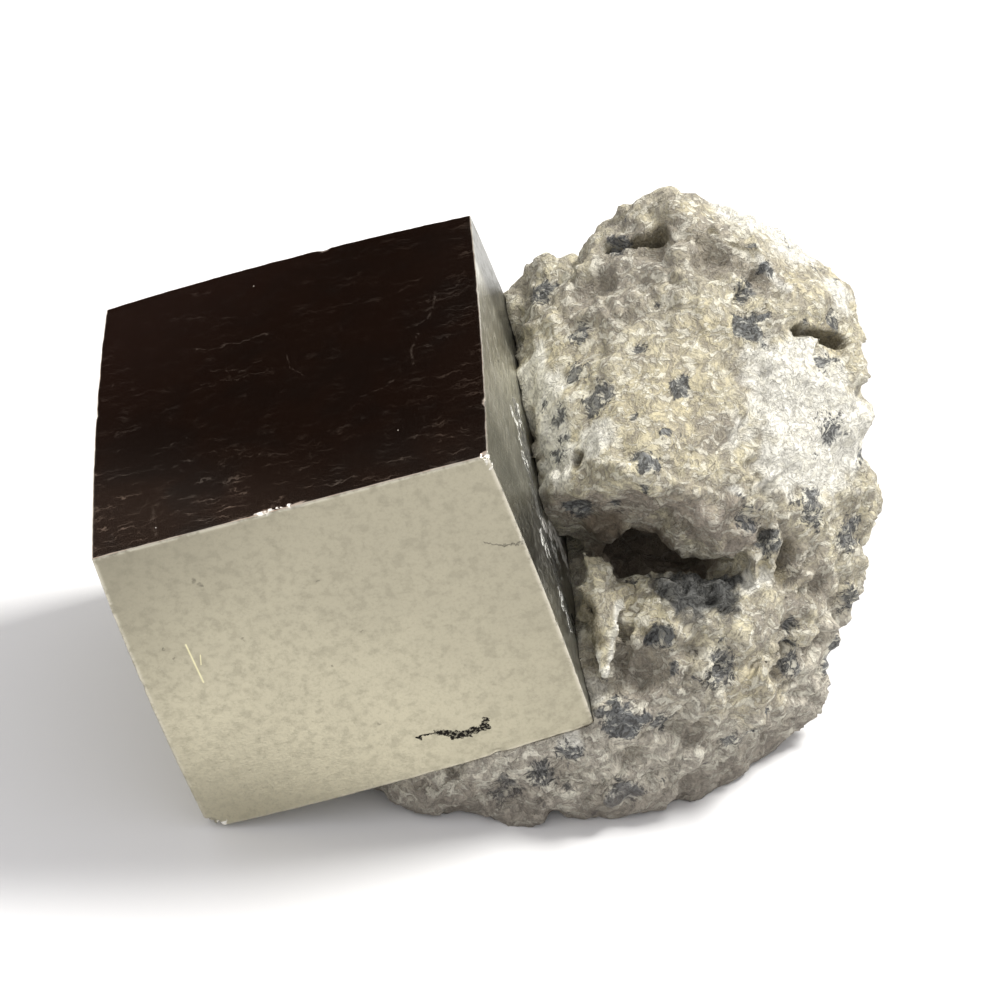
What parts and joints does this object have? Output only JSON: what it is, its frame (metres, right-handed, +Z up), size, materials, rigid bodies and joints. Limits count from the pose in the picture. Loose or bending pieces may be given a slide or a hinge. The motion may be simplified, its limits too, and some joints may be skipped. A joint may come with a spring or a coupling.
{
  "type": "pyrite specimen",
  "caption": "Natural mineral specimen: a large, nearly cubic metallic pyrite crystal leaning out of a broken piece of pale marl, which it rests on.",
  "frame": {"origin": "middle of the specimen's outline, on the surface that it rests on", "axes": "+Z up, +X from the crystal towards the marl, along the longest extent, +Y away from the crystal's front face"},
  "size_m": [0.0474, 0.0324, 0.0288],
  "materials": {
    "pyrite": "satin",
    "marl": "matte"
  },
  "bodies": {
    "root": {"pyrite_crystal": "pyrite", "marl_matrix": "marl"}
  },
  "joints": []
}
